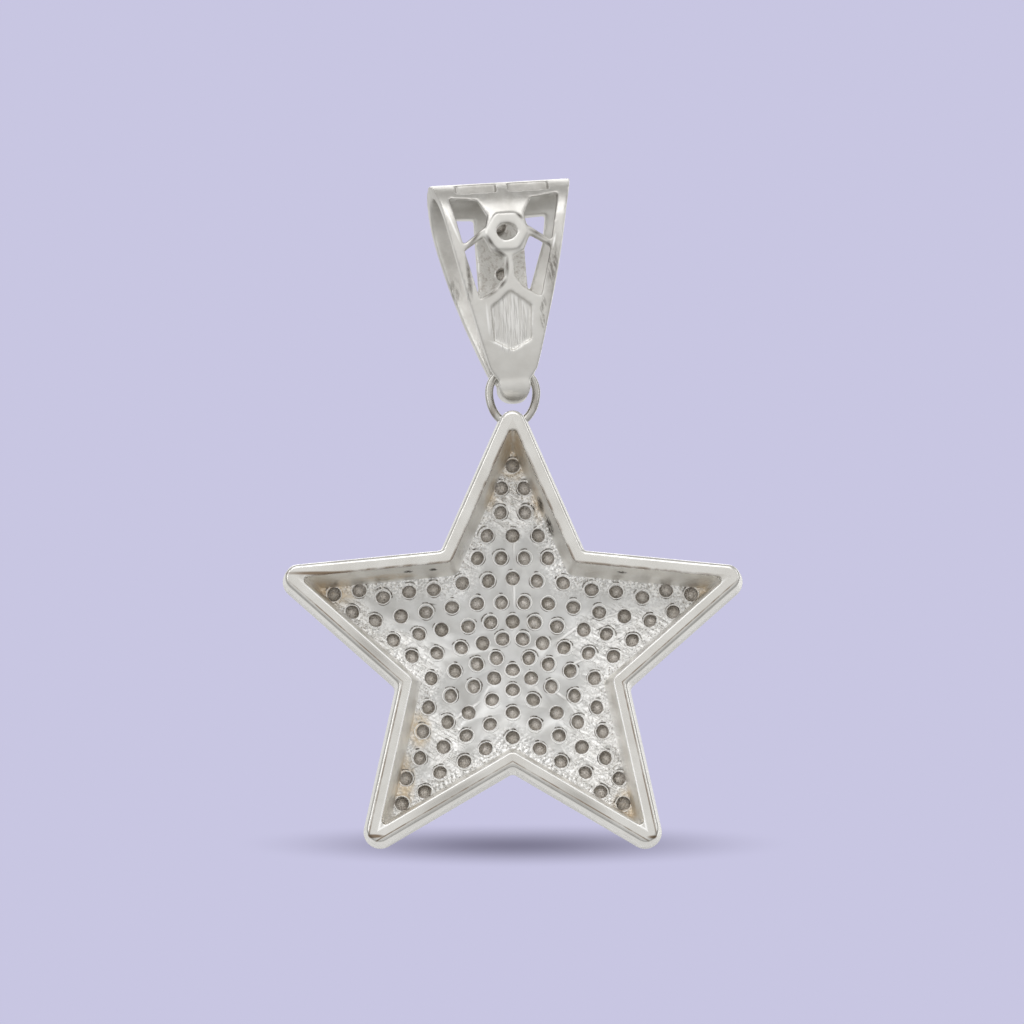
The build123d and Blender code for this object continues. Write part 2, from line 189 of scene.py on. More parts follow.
def hand_over(bm, name, body, materials, sharp=None):
    """Makes the piece of a bmesh, smooth except over edges that turn by more than the sharp angle."""
    mesh = mesh_of(bm, name)
    if "custom_normal" in mesh.attributes:
        mesh.attributes.remove(mesh.attributes["custom_normal"])
    for material in materials:
        mesh.materials.append(material)
    if sharp is None:
        mesh.shade_flat()
    else:
        mesh.shade_smooth()
        mesh.set_sharp_from_angle(angle=radians(sharp))
    piece = add_object(name, mesh)
    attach(piece, body)
    mesh.calc_loop_triangles()
    print(f"{name}: {len(mesh.loop_triangles)} triangles")
    return piece


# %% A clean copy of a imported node
MERGE_REACH = 0.002


def merged_copy(node):
    """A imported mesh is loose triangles: this copy has its corners joined and no slivers."""
    bm = bmesh.new()
    bm.from_mesh(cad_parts[node].data)
    bmesh.ops.remove_doubles(bm, verts=bm.verts, dist=MERGE_REACH * MM)
    bmesh.ops.dissolve_degenerate(bm, edges=bm.edges, dist=MERGE_REACH * MM)
    bm.normal_update()
    return bm


def stamp(bm, pattern, place):
    """Puts a copy of a small pattern mesh into the piece at a place."""
    copy = pattern.copy()
    copy.transform(place)
    bm.from_mesh(copy)
    bpy.data.meshes.remove(copy)


# %% [markdown]
# ## Helpers for the finishes
# A finish is a small net of nodes, and every helper here asks for that net first. Object
# coordinates, scaled up by a thousand, read as millimetres on the piece, so a grain of 0.2 really
# is a fifth of a millimetre. A spot is a soft ball of influence round a point, which is how stains
# are put where the photograph shows them, and a stroke is a thin spot that leans by its rise, in
# degrees.


# %% Wiring nodes
def new_finish(name, metallic=1.0):
    """A new material and its shader."""
    net = bpy.data.materials.new(name)
    net.use_nodes = True
    shader = net.node_tree.nodes["Principled BSDF"]
    shader.inputs["Metallic"].default_value = metallic
    return net, shader


def coated(net, shader, colour, roughness, normal):
    """Gives a shader its colour, roughness and relief, which completes the finish."""
    plug(net, shader.inputs["Base Color"], colour)
    plug(net, shader.inputs["Roughness"], roughness)
    plug(net, shader.inputs["Normal"], normal)
    return net


def plug(net, socket, value):
    """Connects a socket to another node's output, or sets it to a plain value."""
    if isinstance(value, bpy.types.NodeSocket):
        net.node_tree.links.new(value, socket)
    else:
        socket.default_value = value


def add_node(net, kind, inputs, **settings):
    """Adds a node with its settings and its inputs, given by name or by number."""
    node = net.node_tree.nodes.new(kind)
    for key, value in settings.items():
        setattr(node, key, value)
    for key, value in inputs.items():
        plug(net, node.inputs[key], value)
    return node


def millimetres(net, turn=(0, 0, 0), stretch=(1, 1, 1), shift=(0, 0, 0)):
    """Places in millimetres, first turned, then stretched, if the pattern asks for it."""
    place = add_node(net, "ShaderNodeTexCoord", {}).outputs["Object"]
    if turn != (0, 0, 0):
        inputs = {"Vector": place, "Rotation": turn}
        place = add_node(net, "ShaderNodeMapping", inputs).outputs[0]
    scale = tuple(1000 * share for share in stretch)
    inputs = {"Vector": place, "Scale": scale, "Location": shift}
    return add_node(net, "ShaderNodeMapping", inputs).outputs[0]


def grain(net, where, size, detail=3.0, rough=0.55, warp=0.0):
    """Cloudy noise whose patches are about a size across, in millimetres."""
    inputs = {"Vector": where, "Scale": 1 / size, "Detail": detail}
    inputs.update({"Roughness": rough, "Distortion": warp})
    return add_node(net, "ShaderNodeTexNoise", inputs).outputs["Fac"]


def pebbles(net, where, size):
    """Rounded bumps, each about a size across."""
    inputs = {"Vector": where, "Scale": 1 / size}
    cells = add_node(net, "ShaderNodeTexVoronoi", inputs, feature="SMOOTH_F1")
    return spread(net, cells.outputs["Distance"], 0.0, 0.8, 1.0, 0.0)


def spread(net, value, low, high, to_low=0.0, to_high=1.0):
    """Stretches a range of values to another range and holds its ends."""
    inputs = {"Value": value, "From Min": low, "From Max": high, "To Min": to_low, "To Max": to_high}
    return add_node(net, "ShaderNodeMapRange", inputs, clamp=True).outputs["Result"]


def band(net, value, low, full_low, full_high, high):
    """One between two full limits of a value, fading to nothing at its low and its high limit."""
    rising = spread(net, value, low, full_low)
    return product(net, rising, spread(net, value, high, full_high))


def sum_up(net, operation, *values):
    """One step of arithmetic on one value, or on two or three."""
    inputs = dict(enumerate(values))
    return add_node(net, "ShaderNodeMath", inputs, operation=operation).outputs[0]


def chained(net, operation, values):
    """The same step of arithmetic over a few values, one after another."""
    result = values[0]
    for value in values[1:]:
        result = sum_up(net, operation, result, value)
    return result


def product(net, *values):
    """The product of a few values at every point."""
    return chained(net, "MULTIPLY", values)


def facing_back(net, normal, low, high):
    """One where the surface looks to the back, by one of its normals and the limits of a fade."""
    facing = add_node(net, "ShaderNodeNewGeometry", {}).outputs[normal]
    backwards = add_node(net, "ShaderNodeSeparateXYZ", {0: facing}).outputs["Y"]
    return spread(net, backwards, low, high)


def spot(net, centre, half, soft=0.5, rise=0.0):
    """One at a centre, fading out at the half sizes of a ball in millimetres, which may lean."""
    place = add_node(net, "ShaderNodeTexCoord", {}).outputs["Object"]
    ball = {
        "Vector": place,
        "Location": tuple(at * MM for at in centre),
        "Rotation": (0, -radians(rise), 0),
        "Scale": tuple(size * MM for size in half),
    }
    inside = add_node(net, "ShaderNodeMapping", ball, vector_type="TEXTURE").outputs[0]
    length = add_node(net, "ShaderNodeVectorMath", {0: inside}, operation="LENGTH").outputs["Value"]
    return spread(net, length, 1.0, soft, 0.0, 1.0)


def tint(net, share, first, second):
    """Mixes two colours by a share."""
    node = add_node(net, "ShaderNodeMix", {}, data_type="RGBA")
    plug(net, node.inputs[0], share)
    plug(net, node.inputs[6], first)
    plug(net, node.inputs[7], second)
    return node.outputs[2]


def relief(net, height, depth, under=None):
    """Turns a height into a relief of a depth in millimetres, over an earlier relief or none."""
    inputs = {"Height": height, "Strength": 1.0, "Distance": depth * MM}
    if under is not None:
        inputs["Normal"] = under
    return add_node(net, "ShaderNodeBump", inputs).outputs["Normal"]


def strongest(net, values):
    """The strongest of a few values at every point."""
    return chained(net, "MAXIMUM", values)


def one_of(net, chart):
    """The strongest of the spots of a chart, each with its centre and half sizes."""
    return strongest(net, [spot(net, entry.centre, entry.half) for entry in chart])


# %% The star's own measure: how far a point lies inside the outline
def inset_field(net):
    """The inset of every point of the star, worked out by nodes as inset_of does it for one point."""
    shift = (-STAR_CENTRE.x, 0, -STAR_CENTRE.z)
    flat = millimetres(net, stretch=(1, 0, 1), shift=shift)
    reach = add_node(net, "ShaderNodeVectorMath", {0: flat}, operation="LENGTH").outputs["Value"]
    axes = add_node(net, "ShaderNodeSeparateXYZ", {0: flat}).outputs
    turn = sum_up(net, "ARCTAN2", axes["X"], axes["Z"])
    turn = sum_up(net, "PINGPONG", turn, radians(HALF_STEP))
    along = product(net, reach, sum_up(net, "COSINE", turn))
    across = product(net, reach, sum_up(net, "SINE", turn))
    from_tip = product(net, sum_up(net, "SUBTRACT", TIP_REACH, along), OUT_ALONG)
    return sum_up(net, "SUBTRACT", from_tip, product(net, across, OUT_ACROSS))


def height_and_depth(net):
    """The height above the star's middle, and the place from front to back."""
    place = millimetres(net, shift=(0, 0, -STAR_CENTRE.z))
    axes = add_node(net, "ShaderNodeSeparateXYZ", {0: place}).outputs
    return axes["Z"], axes["Y"]


# %% [markdown]
# ## Silver
# Polished silver is a near white metal with a faint warmth. What makes it look real is that it is
# never even: the polish is wavy at the scale of the casting, and fine wheel marks and small clouds
# of tarnish break up its reflections.

# %% Colours
SILVER = (0.765, 0.755, 0.73, 1)
SILVER_DULL = (0.67, 0.655, 0.625, 1)
SILVER_WHITE = (0.95, 0.945, 0.93, 1)
SHADE = (0.47, 0.455, 0.43, 1)
FLOOR_SILVER = (0.69, 0.69, 0.687, 1)
FLOOR_DULL = (0.575, 0.57, 0.555, 1)
# The walls take a lighter silver than the floor and the rim, as painted light in the shaded hollow
WALL_SILVER_PAINTED_LIGHT = (0.95, 0.94, 0.91, 1)
WALL_DULL_PAINTED_LIGHT = (0.88, 0.855, 0.81, 1)
TAN = (0.70, 0.58, 0.42, 1)
BROWN = (0.25, 0.19, 0.14, 1)
SOOT = (0.09, 0.075, 0.06, 1)
LIP_WHITE = (1.0, 0.995, 0.985, 1)
STONE_BACK = (0.72, 0.67, 0.60, 1)
STONE_BACK_LIGHT = (0.97, 0.92, 0.86, 1)


# %% The chart of stains, of painted shade and of a painted dark reflection on the rim and the ring, measured on the photograph
Stain = namedtuple("Stain", "centre half")
Stroke = namedtuple("Stroke", "middle length rise")


def on_star(x, z, y):
    """A place across and up from the star's middle, and towards the back from the frame's own."""
    return (STAR_CENTRE.x + x, y, STAR_CENTRE.z + z)


RING_SHADES = [
    Stain(centre=(-0.86, 0, -13.6), half=(2.6, 1.6, 2.8)),
    Stain(centre=(-2.7, 0, -13.3), half=(1.2, 1.4, 2.2)),
]
RIM_STAINS_AND_DARK_REFLECTION = [
    Stain(centre=on_star(12.3, 4.83, 2.4), half=(3.4, 0.6, 0.17)),
    Stain(centre=on_star(9.1, -12.45, 2.5), half=(0.9, 0.5, 0.16)),
    Stain(centre=on_star(-9.3, -12.5, 2.5), half=(0.6, 0.5, 0.14)),
    Stain(centre=on_star(0.95, 16.2, 0.0), half=(0.45, 0.6, 0.6)),
    Stain(centre=on_star(-0.95, 16.2, 0.0), half=(0.45, 0.6, 0.6)),
    Stain(centre=on_star(1.3, 15.95, 0.1), half=(0.3, 0.6, 0.7)),
    Stain(centre=on_star(-1.5, 16.6, 0.1), half=(0.2, 0.6, 0.8)),
]
RIM_SHADES = [
    Stroke(middle=(3.9, -9.6), length=7.0, rise=149.5),
    Stroke(middle=(-4.45, -9.96), length=4.4, rise=30.5),
    Stroke(middle=(9.23, -0.19), length=6.0, rise=41.6),
]


# %% Strokes: long thin spots
STROKE_REACH = 2.2


def stroked(net, chart, origin, half_width):
    """The marks of a chart of thin strokes, whose middles are counted from an origin."""
    values = []
    for stroke in chart:
        centre = (origin[0] + stroke.middle[0], origin[1], origin[2] + stroke.middle[1])
        half = (stroke.length / 2, STROKE_REACH, half_width)
        values.append(spot(net, centre, half, 0.2, stroke.rise))
    return strongest(net, values)


# %% The polished finish
rim_middle = on_star(0, 0, RIM_Y)


def polished(name, rough_low=0.16, rough_high=0.3, rim_shade_and_marks=False):
    """Silver off the wheel: clouded, wavy and finely marked; on the rim also brown stains and lines,
    painted shade, painted dark reflections and a painted highlight.
    """
    net, shader = new_finish(name)
    where = millimetres(net)
    clouds = grain(net, where, 2.2, 4)
    base = tint(net, spread(net, clouds, 0.35, 0.7), SILVER, SILVER_DULL)
    off_the_wheel = millimetres(net, turn=(0, radians(35), 0), stretch=(0.15, 0.15, 1))
    marks = grain(net, off_the_wheel, 0.05, 2)
    roughness = spread(net, marks, 0.3, 0.7, rough_low, rough_high)
    skin = relief(net, grain(net, where, 0.9, 2), 0.016)
    if rim_shade_and_marks:
        inset = inset_field(net)
        height, depth = height_and_depth(net)
        low = spread(net, height, 4.6, 3.8)
        on_top = spread(net, depth, 2.2, 2.4)
        # Painted shade: dark strokes on the rim's back face where its reflection is darker
        shades = product(net, stroked(net, RIM_SHADES, rim_middle, 0.42), on_top)
        base = tint(net, product(net, shades, 0.85), base, SHADE)
        # A broken brown line just inside the edge of the lower rims
        broken = spread(net, grain(net, where, 1.6, 5, 0.7), 0.36, 0.56, 0.25, 0.95)
        brown_edge_line = band(net, inset, 0.19, 0.23, 0.26, 0.31)
        base = tint(net, product(net, brown_edge_line, on_top, low, broken), base, BROWN)
        # A painted dark reflection: patchy brown along the inner edge of the upper rims
        inner_edge = spread(net, inset, 0.66, 0.74)
        high_up = spread(net, height, 4.4, 5.0)
        patchy = spread(net, grain(net, where, 1.1, 3), 0.4, 0.6, 0.1, 0.75)
        base = tint(net, product(net, inner_edge, high_up, patchy), base, BROWN)
        # A painted highlight: a white, less metallic line along the inner edge of the lower rims
        inner_highlight = band(net, inset, 0.72, 0.76, 0.84, 0.88)
        inner_highlight = product(net, inner_highlight, on_top, low)
        base = tint(net, inner_highlight, base, LIP_WHITE)
        metallic = spread(net, inner_highlight, 0.0, 1.0, 1.0, 0.25)
        plug(net, shader.inputs["Metallic"], metallic)
        # Brown stains, and a painted dark reflection along the inner edge of the left arm's upper rim
        base = tint(net, one_of(net, RIM_STAINS_AND_DARK_REFLECTION), base, BROWN)
        # Painted shade on the walls outside the lower arms and on the ring
        outer = product(net, spread(net, depth, 2.25, 1.7, 0.0, 0.15), low)
        ring = product(net, one_of(net, RING_SHADES), 0.85)
        base = tint(net, strongest(net, [outer, ring]), base, SHADE)
        outside = band(net, depth, 0.6, 0.9, 1.2, 1.5)
        specks = spread(net, grain(net, where, 0.2, 2, 0.6), 0.55, 0.62)
        frost = product(net, specks, outside, low)
        base = tint(net, frost, base, SILVER_WHITE)
        roughness = sum_up(net, "ADD", roughness, product(net, frost, 0.3))
        skin = relief(net, frost, 0.005, skin)
    return coated(net, shader, base, roughness, relief(net, marks, 0.001, skin))


rim_silver = polished("rim_silver", rim_shade_and_marks=True)
print("finishes so far:", [m.name for m in bpy.data.materials])


# %% [markdown]
# ## Cast skin
# The hollow of the star was never polished. It keeps the skin of the casting: small pebbles near
# the walls and out along the arms, a smoother middle, worn patches with file strokes in them, and
# single white or dark scratches. Tarnish gathers where a cloth can't reach, in the tips and along
# the foot of the walls.

# %% The chart of stains in the hollow, measured on the photograph
TAN_STAINS = [
    Stain(centre=on_star(-0.1, 13.3, 0.2), half=(1.7, 3.2, 2.2)),
    Stain(centre=on_star(1.5, 10.6, 0.0), half=(0.6, 1.6, 1.6)),
    Stain(centre=on_star(-1.7, 10.3, 0.0), half=(0.7, 1.6, 2.2)),
    Stain(centre=on_star(12.0, 3.9, -0.2), half=(2.2, 1.6, 1.1)),
    Stain(centre=on_star(-12.2, 3.9, -0.2), half=(1.2, 1.2, 0.7)),
    Stain(centre=on_star(-7.7, -10.2, -0.4), half=(1.4, 1.4, 1.5)),
    Stain(centre=on_star(7.2, -8.6, -0.6), half=(0.9, 1.0, 2.2)),
    Stain(centre=on_star(6.1, -5.2, -0.6), half=(0.9, 1.0, 1.5)),
    Stain(centre=on_star(8.6, 4.9, 0.3), half=(2.6, 1.0, 0.5)),
]
DARK_PITS = [
    Stain(centre=on_star(-1.90, 9.8, 0.0), half=(0.42, 1.1, 0.75)),
    Stain(centre=on_star(-2.45, 8.4, 0.0), half=(0.48, 1.1, 1.1)),
    Stain(centre=on_star(6.9, 5.15, 1.2), half=(0.40, 0.4, 0.17)),
    Stain(centre=on_star(5.2, 5.2, 1.2), half=(0.34, 0.4, 0.15)),
    Stain(centre=on_star(-7.2, 5.1, 1.2), half=(0.40, 0.4, 0.17)),
]
WHITE_STROKES = [
    Stroke(middle=(5.0, -7.0), length=2.2, rise=130),
    Stroke(middle=(4.6, -7.0), length=2.4, rise=129),
    Stroke(middle=(4.3, -6.8), length=2.3, rise=128),
    Stroke(middle=(3.1, -5.5), length=1.1, rise=130),
    Stroke(middle=(3.5, -4.2), length=1.5, rise=142),
    Stroke(middle=(2.6, -3.6), length=1.3, rise=141),
    Stroke(middle=(-3.9, 1.4), length=2.5, rise=146),
    Stroke(middle=(-6.6, 2.5), length=3.7, rise=163),
    Stroke(middle=(-7.1, 1.6), length=3.8, rise=156),
    Stroke(middle=(-4.6, -0.5), length=2.5, rise=155),
    Stroke(middle=(-6.8, 0.7), length=2.7, rise=153),
    Stroke(middle=(-3.1, -2.8), length=1.5, rise=36),
    Stroke(middle=(-4.3, -4.2), length=2.8, rise=55),
    Stroke(middle=(-4.9, -4.4), length=2.9, rise=55),
    Stroke(middle=(-3.6, -6.9), length=1.8, rise=62),
    Stroke(middle=(-0.1, 7.9), length=3.5, rise=91),
    Stroke(middle=(-0.1, 4.2), length=3.1, rise=89),
]
DARK_STROKES = [
    Stroke(middle=(2.9, -5.1), length=0.6, rise=135),
    Stroke(middle=(4.5, -5.9), length=0.7, rise=163),
    Stroke(middle=(-5.8, 1.6), length=1.2, rise=156),
    Stroke(middle=(-4.9, 0.4), length=0.7, rise=169),
    Stroke(middle=(-3.8, -0.9), length=0.9, rise=171),
    Stroke(middle=(-5.4, 2.3), length=0.7, rise=158),
    Stroke(middle=(7.2, 2.3), length=1.0, rise=173),
    Stroke(middle=(5.4, 3.2), length=0.9, rise=8),
    Stroke(middle=(6.5, -7.7), length=0.6, rise=148),
]
WORN_PATCHES = [
    Stain(centre=on_star(-7.8, 1.0, -1.0), half=(5.0, 3, 2.6)),
    Stain(centre=on_star(-5.6, -6.4, -1.0), half=(2.6, 3, 5.2)),
    Stain(centre=on_star(4.6, -5.8, -1.0), half=(1.7, 3, 2.6)),
    Stain(centre=on_star(6.2, -1.2, -1.0), half=(1.2, 3, 2.6)),
    Stain(centre=on_star(10.8, 2.4, -1.0), half=(2.0, 3, 1.4)),
    Stain(centre=on_star(0.1, 9.6, -1.0), half=(1.6, 3, 2.6)),
    Stain(centre=on_star(3.0, 6.6, -1.0), half=(0.8, 3, 1.8)),
    Stain(centre=on_star(7.6, 0.8, -1.0), half=(1.8, 3, 0.8)),
]


# %% The cast finish, for the floor and for the walls
floor_middle = on_star(0, 0, FLOOR_Y)


def cast(name, bright, dull, pebble_size, pebble_depth, speckled, stained):
    """Silver with its cast skin: pebbles, file strokes and the stains of the charts."""
    net, shader = new_finish(name)
    where = millimetres(net)
    inset = inset_field(net)
    clouds = spread(net, grain(net, where, 1.6, 5), 0.3, 0.7)
    base = tint(net, clouds, bright, dull)
    patchy = spread(net, grain(net, where, 0.45, 5, 0.65), 0.36, 0.48)
    worn_places = one_of(net, WORN_PATCHES)
    worn = product(net, worn_places, patchy)
    base = tint(net, worn, base, LIP_WHITE)
    white_strokes = stroked(net, WHITE_STROKES, floor_middle, 0.13)
    base = tint(net, white_strokes, base, LIP_WHITE)
    dark_strokes = stroked(net, DARK_STROKES, floor_middle, 0.08)
    base = tint(net, product(net, dark_strokes, 0.75), base, SOOT)
    uneven_inset = sum_up(net, "ADD", inset, product(net, clouds, 0.8))
    foot = spread(net, uneven_inset, 3.4, 1.9)
    specks = spread(net, grain(net, where, 0.13, 3, 0.65), 0.56, 0.63)
    base = tint(net, product(net, specks, foot, speckled), base, BROWN)
    sparks = spread(net, grain(net, where, 0.15, 3, 0.65), 0.52, 0.45, 0.0, speckled)
    base = tint(net, product(net, sparks, foot), base, LIP_WHITE)
    broken = spread(net, grain(net, where, 0.35, 5, 0.7), 0.32, 0.56, 0.15, 0.85)
    tan = product(net, one_of(net, TAN_STAINS), broken, stained)
    base = tint(net, tan, base, TAN)
    ragged = spread(net, grain(net, where, 0.32, 5, 0.7), 0.42, 0.5)
    pits = product(net, one_of(net, DARK_PITS), ragged)
    base = tint(net, pits, base, SOOT)
    metallic = spread(net, white_strokes, 0.0, 1.0, 1.0, 0.15)
    plug(net, shader.inputs["Metallic"], metallic)
    rougher = chained(net, "ADD", [clouds, worn, white_strokes])
    roughness = spread(net, rougher, 0.0, 1.6, 0.42, 0.52)
    rough_ground = sum_up(net, "ADD", strongest(net, [foot, worn_places]), 0.04)
    lumps = product(net, pebbles(net, where, pebble_size), rough_ground)
    skin = relief(net, lumps, pebble_depth)
    along_the_file = millimetres(net, turn=(0, radians(32), 0), stretch=(0.07, 0.07, 1))
    strokes = spread(net, grain(net, along_the_file, 0.11, 2), 0.5, 0.66)
    filed = product(net, strokes, worn)
    skin = relief(net, strongest(net, [filed, white_strokes]), 0.07, skin)
    normal = relief(net, grain(net, where, 0.12, 3), 0.004, skin)
    return coated(net, shader, base, roughness, normal)


floor_skin = {"pebble_size": 0.2, "pebble_depth": 0.1, "speckled": 0.85, "stained": 1.0}
floor_silver = cast("floor_silver", FLOOR_SILVER, FLOOR_DULL, **floor_skin)
# Painted light: the walls take the lighter silver
wall_skin = {"pebble_size": 0.3, "pebble_depth": 0.012, "speckled": 0.1, "stained": 0.7}
wall_silver = cast("wall_silver", WALL_SILVER_PAINTED_LIGHT, WALL_DULL_PAINTED_LIGHT, **wall_skin)
front_silver = polished("front_silver", 0.12, 0.24)


# %% A plainer finish, and the holes, where the silver is dark with polish and grime
def clouded(name, cloud, colours, fade, rough, skin=None, skin_depth=0.01, metallic=1.0):
    """Two colours in clouds, which set the roughness and, without a skin of their own, the relief."""
    net, shader = new_finish(name, metallic)
    where = millimetres(net)
    clouds = grain(net, where, *cloud)
    base = tint(net, spread(net, clouds, *fade), *colours)
    roughness = spread(net, clouds, 0.3, 0.7, *rough)
    height = clouds if skin is None else grain(net, where, *skin)
    return coated(net, shader, base, roughness, relief(net, height, skin_depth))


hole_silver = clouded("hole_silver", (0.3, 4), (SILVER_DULL, BROWN), (0.35, 0.75), (0.35, 0.6))

# %% [markdown]
# ## The star casting
# Apart from its rounded rim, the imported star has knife-sharp edges. A real casting has none, and
# the thin bright line along every edge is what tells the eye that it is metal. So a copy of the
# solid gets its sharp edges bevelled, and each face takes its finish from where it lies: rim,
# wall, floor, hole or front.


# %% How far a point lies inside the star's outline
def inset_of(x, z):
    """The distance of a point from the nearest side of the rim's outline, inwards."""
    turn = degrees(atan2(x - STAR_CENTRE.x, z - STAR_CENTRE.z)) % ARM_STEP
    turn = min(turn, ARM_STEP - turn)
    reach = hypot(x - STAR_CENTRE.x, z - STAR_CENTRE.z)
    along, across = reach * cos(radians(turn)), reach * sin(radians(turn))
    return -((along - TIP_REACH) * OUT_ALONG + across * OUT_ACROSS)


# %% Which finish a face takes
RIM, WALL, FLOOR, HOLE, FRONT = range(5)
LOOKS_BACK = 0.75
LOOKS_FORWARD = 0.6
FLOOR_SLACK = 0.3
FRONT_SLACK = 0.35
WALL_SLACK = 0.08
RIM_DEPTH = 0.3
RIM_SHARE = 0.6
RING_FOOT = 15.9
OUTSIDE_INSET = 1.2


def star_zone(face):
    """The zone of a face of the casting. The rim's includes the outside and the ring."""
    middle = face.calc_center_median() / MM
    inset = inset_of(middle.x, middle.z)
    depth = RIM_Y - middle.y
    if face.normal.y > LOOKS_BACK and depth > HOLLOW_DEPTH - FLOOR_SLACK:
        return FLOOR
    if depth > HOLLOW_DEPTH + PLATE_THICKNESS - FRONT_SLACK and face.normal.y < -LOOKS_FORWARD:
        return FRONT
    from_middle = middle - STAR_CENTRE
    looks_out = face.normal.x * from_middle.x + face.normal.z * from_middle.z > 0
    outside = (looks_out and inset < OUTSIDE_INSET) or inset < RIM_WIDTH * RIM_SHARE
    if depth < RIM_DEPTH or outside or from_middle.z > RING_FOOT:
        return RIM
    if inset < WALL_FOOT + WALL_SLACK and depth < HOLLOW_DEPTH:
        return WALL
    return HOLE


# %% Bevel the casting
FLAT_TURN = 0.4
SHARP_TURN = 33
SOFT_EDGE = 0.045
bm = merged_copy("star_setting")
bmesh.ops.dissolve_limit(bm, angle_limit=radians(FLAT_TURN), verts=bm.verts, edges=bm.edges)
shared = [edge for edge in bm.edges if edge.is_manifold]
sharp_edges = [edge for edge in shared if edge.calc_face_angle() > radians(SHARP_TURN)]
bmesh.ops.bevel(
    bm,
    geom=sharp_edges,
    offset=SOFT_EDGE * MM,
    offset_type="OFFSET",
    affect="EDGES",
    segments=2,
    profile=0.5,
    material=-1,
    clamp_overlap=True,
)
bm.normal_update()
print(len(sharp_edges), "edges bevelled")
for face in bm.faces:
    face.material_index = star_zone(face)
star_finishes = [rim_silver, wall_silver, floor_silver, hole_silver, front_silver]
star_casting = hand_over(bm, "star_casting", "star", star_finishes, sharp=40)
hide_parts("star_setting")

# %% [markdown]
# ## The lips of the holes
# Drilling through a soft casting pushes up a thin lip round every hole, and on the upper side
# the tool left a broken step just outside it. The lip is coloured near white, a painted highlight,
# and the step dark, painted shade. Both are short profiles spun round the hole, the lip all the
# way and the burr part of the way, made uneven by noise and stamped in a few variants.

# %% One ring or part of a ring
hole_radius = STONE_DIAMETER * HOLE_SHARE / 2
LIP_PROFILE = [(-0.014, -0.08), (-0.008, 0.012), (0.026, 0.052), (0.05, 0.046), (0.066, -0.06)]
BURR_PROFILE = [(0.082, -0.05), (0.09, 0.04), (0.15, 0.04), (0.165, -0.05)]
LIP_VARIANTS = 7
LIP_STEPS = 22
BURR_SWEEPS = [74, 30, 96, 52, 24, 64, 40]
BURR_STEPS = 8
BURR_END = 0.2
BURR_SINK = 0.05
WAVE_UP, WAVE_OUT = 0.018, 0.022
GRIT_UP, GRIT_OUT = 0.010, 0.016


def spin_round(bm, chain, edges, sweep, steps):
    """Spins a chain of points and edges about Z by a sweep in degrees, and joins up a full turn."""
    bmesh.ops.spin(
        bm,
        geom=chain + edges,
        cent=(0, 0, 0),
        axis=(0, 0, 1),
        angle=radians(sweep),
        steps=steps,
        use_merge=sweep == 360,
    )


def spun_mesh(name, profile, sweep, steps, seed, material_number):
    """A profile spun round the hole at the origin, its crest along +Z, with closed ends that sink."""
    bm = bmesh.new()
    chain = [bm.verts.new(((hole_radius + out) * MM, 0, up * MM)) for out, up in profile]
    edges = [bm.edges.new(pair) for pair in zip(chain, chain[1:] + chain[:1])]
    spin_round(bm, chain, edges, sweep, steps)
    open_ends = [edge for edge in bm.edges if edge.is_boundary]
    bmesh.ops.holes_fill(bm, edges=open_ends, sides=len(profile))
    bmesh.ops.recalc_face_normals(bm, faces=bm.faces)
    for vert in bm.verts:
        way = vert.co.xy.normalized()
        wave = noise.noise(Vector((way.x * 1.3, way.y * 1.3, seed * 4.7)))
        grit = noise.noise(Vector((way.x * 4.0, way.y * 4.0, seed * 9.1)))
        if sweep < 360:
            along = degrees(atan2(way.y, way.x)) % 360 / sweep
            from_end = min(along, 1 - along) / BURR_END
            vert.co.z -= max(0.0, 1 - from_end) * BURR_SINK * MM
        vert.co.z += (WAVE_UP * wave + GRIT_UP * grit) * MM
        vert.co.xy += way * (WAVE_OUT * wave + GRIT_OUT * grit) * MM
    for face in bm.faces:
        face.material_index = material_number
    return mesh_of(bm, name)


# %% Stamp the lips and the burrs
BURR_CHANCE = -0.25
BURR_RARER = 0.3
BURR_STRAY = 60
BURR_ASIDE = 55
lips = [spun_mesh("lip", LIP_PROFILE, 360, LIP_STEPS, variant, 0) for variant in range(LIP_VARIANTS)]
burrs = []
for variant, sweep in enumerate(BURR_SWEEPS):
    burrs.append(spun_mesh("burr", BURR_PROFILE, sweep, BURR_STEPS, variant + 0.5, 1))
bm = bmesh.new()
floor_depth = HOLLOW_DEPTH - BORDER_RAISE + CROWN_RISE
floor_steeper = field_notch / inset_reach(WALL_FOOT + BORDER_RAISE)[1]
for index, (spot_at, outward, slope) in enumerate(seats):
    point, facing = plate_point(spot_at, outward, slope * floor_steeper, floor_depth)
    if point.y > FLOOR_Y * MM:
        point.y, facing = FLOOR_Y * MM, Vector((0, -1, 0))
    stamp(bm, lips[index % LIP_VARIANTS], seat_frame(point, -facing, index * 2.4))
    for part in range(2):
        luck = noise.noise(Vector((index * 2.9, part * 5.0, 1.0)))
        if luck < BURR_CHANCE + BURR_RARER * part:
            continue
        choice = (index * 3 + part) % len(BURR_SWEEPS)
        aside = luck * BURR_STRAY if part == 0 else BURR_ASIDE * (-1) ** index
        start = 90 - BURR_SWEEPS[choice] / 2 + aside
        stamp(bm, burrs[choice], seat_frame(point, -facing, radians(start)))
# The lips: near white and barely metallic, a painted highlight. The burrs: dark, painted shade
lip_highlight = clouded(
    "lip_highlight",
    (0.5, 3),
    (LIP_WHITE, SILVER_WHITE),
    (0.35, 0.65),
    (0.3, 0.45),
    skin=(0.1, 3),
    skin_depth=0.004,
    metallic=0.1,
)
burr_shade = clouded("burr_shade", (0.12, 3), (SOOT, SHADE), (0.42, 0.62), (0.4, 0.6))
hand_over(bm, "hole_lips", "star", [lip_highlight, burr_shade], sharp=60)

